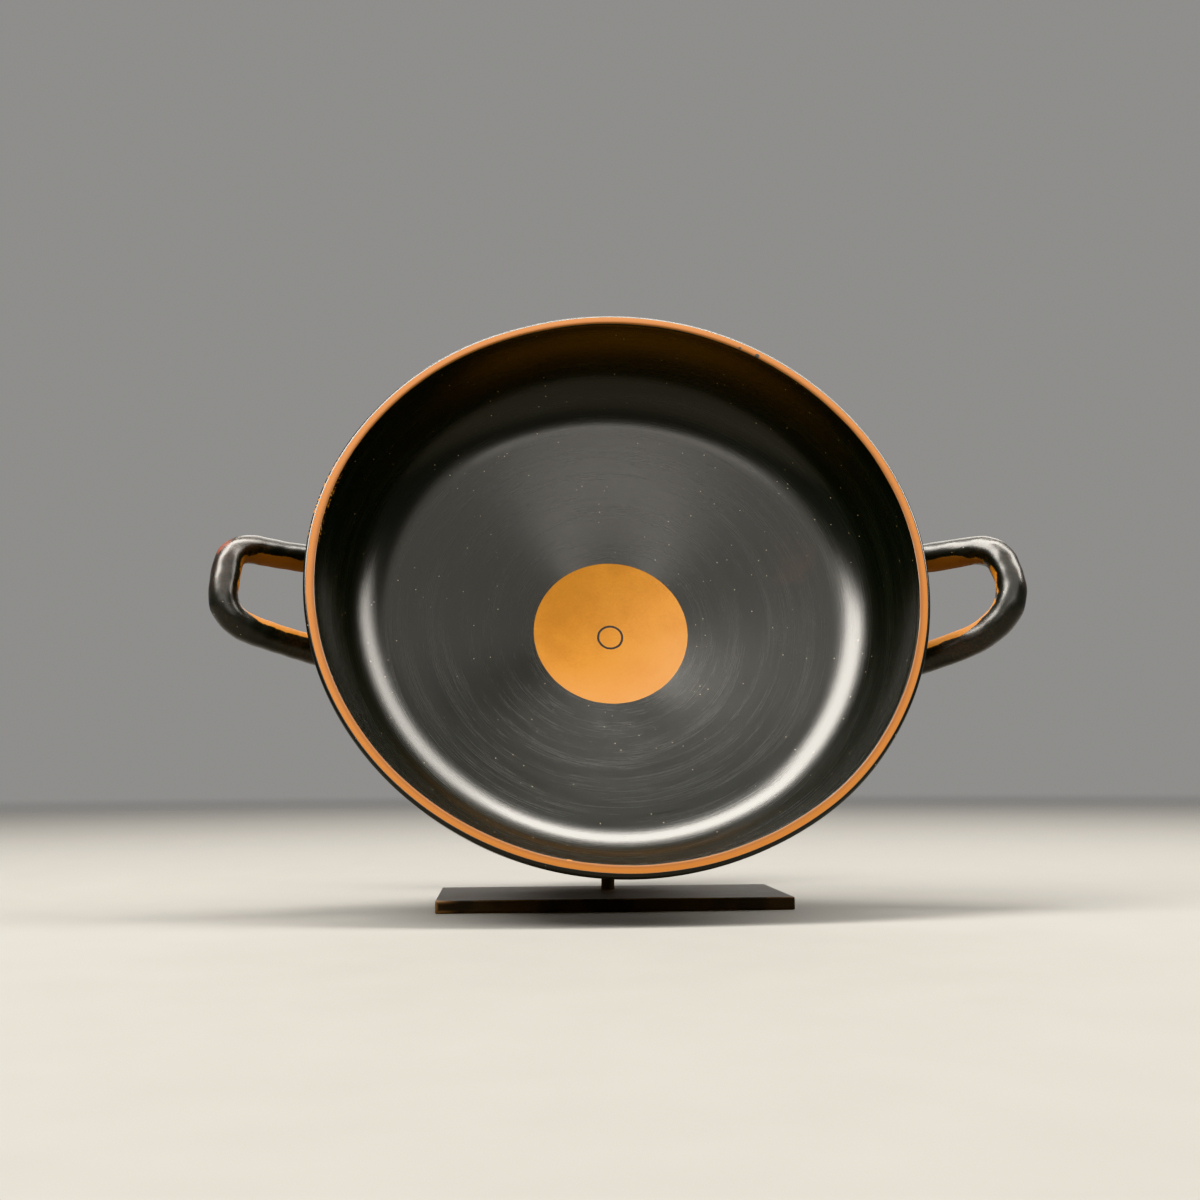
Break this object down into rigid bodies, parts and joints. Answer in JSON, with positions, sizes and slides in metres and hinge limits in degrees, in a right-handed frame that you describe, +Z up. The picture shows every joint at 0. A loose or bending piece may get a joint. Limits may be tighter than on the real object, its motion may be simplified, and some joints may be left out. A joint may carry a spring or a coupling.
{
  "type": "kylix cup on display stand",
  "caption": "Shallow footed drinking cup of black-gloss fired clay with two loop handles, held tilted, mouth forward, on a small flat stand of dark metal.",
  "frame": {"origin": "middle of the base plate's flat underside, which the whole thing stands on", "axes": "+X along the two handles, to the right seen from the front; -Y is the side the mouth faces; +Z up"},
  "size_m": [0.2806, 0.1719, 0.2151],
  "materials": {
    "plate_bronze": "dark brown patina, semi-gloss, worn brighter along the edges",
    "rod_bronze": "dark brown patina, satin",
    "black_gloss_clay": "black gloss slip with fine brush streaks; lip, floor disc and inner faces of the handles left in orange clay"
  },
  "bodies": {
    "root": {"base_plate": "plate_bronze", "cradle_post": "rod_bronze", "kylix": "black_gloss_clay"}
  },
  "joints": []
}
